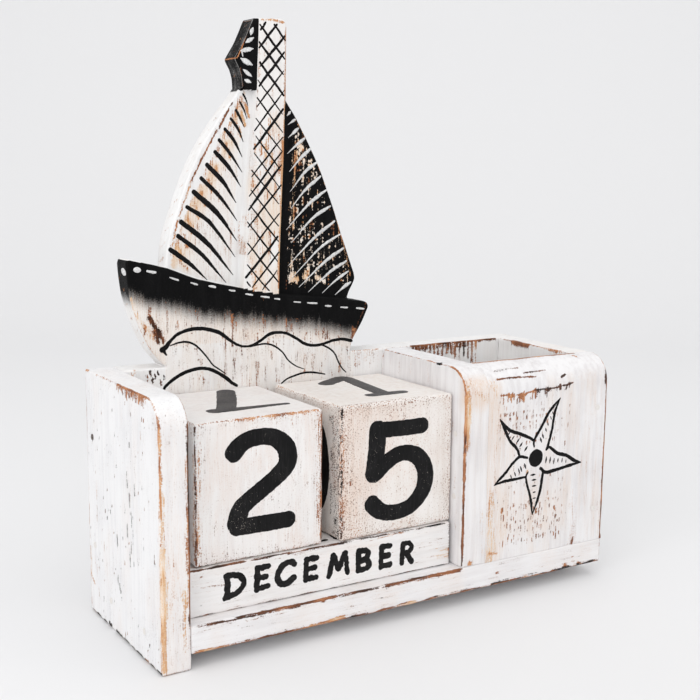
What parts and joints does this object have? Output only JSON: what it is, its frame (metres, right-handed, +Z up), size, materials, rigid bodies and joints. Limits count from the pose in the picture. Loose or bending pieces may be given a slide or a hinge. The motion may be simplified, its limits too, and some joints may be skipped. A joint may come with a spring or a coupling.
{
  "type": "desk calendar with pen cup",
  "caption": "Wooden perpetual desk calendar with loose date cubes on loose month bars in an open tray, a square open pen cup beside it, and a sailboat cut from the back board.",
  "frame": {"origin": "middle of the whole object's underside, on the surface it stands on", "axes": "+X to the right as seen from the front, +Y to the rear, +Z up"},
  "size_m": [0.175, 0.0624, 0.1988],
  "materials": {
    "white_washed_wood": "white-washed paint, sanded through to brown wood at the edges",
    "date_cube_wood": "thin white paint with pinkish wood specks, black painted digits",
    "month_bar_wood": "white-washed paint, black brushed month names",
    "black_paint": "black brushed acrylic on wood: boat stripes, waves, starfish, digits and letters",
    "steel": "headed brad, flush and mostly painted over"
  },
  "bodies": {
    "case": {"left_end_panel": "white_washed_wood", "base_board": "white_washed_wood", "back_board_sailboat": "white_washed_wood", "divider_panel": "white_washed_wood", "cup_front_panel": "white_washed_wood", "right_end_panel": "white_washed_wood", "left_panel_brads": "steel", "right_panel_brads": "steel", "back_board_brads": "steel", "divider_brads": "steel", "cup_front_brads": "steel", "base_brads": "steel"},
    "left_cube": {"date_cube_left": "date_cube_wood"},
    "right_cube": {"date_cube_right": "date_cube_wood"},
    "rear_bar": {"month_bar_rear": "month_bar_wood"},
    "middle_bar": {"month_bar_middle": "month_bar_wood"},
    "front_bar": {"month_bar_front": "month_bar_wood"}
  },
  "joints": [
    {"name": "left_cube_lift", "type": "slide", "parent": "case", "child": "left_cube", "axis": [0, 0, 1], "range_m": [0, 0.058]},
    {"name": "right_cube_lift", "type": "slide", "parent": "case", "child": "right_cube", "axis": [0, 0, 1], "range_m": [0, 0.058]},
    {"name": "rear_bar_pull", "type": "slide", "parent": "case", "child": "rear_bar", "axis": [0, -1, 0], "range_m": [0, 0.052]},
    {"name": "middle_bar_pull", "type": "slide", "parent": "rear_bar", "child": "middle_bar", "axis": [0, -1, 0], "range_m": [0, 0.037]},
    {"name": "front_bar_pull", "type": "slide", "parent": "middle_bar", "child": "front_bar", "axis": [0, -1, 0], "range_m": [0, 0.022]}
  ]
}
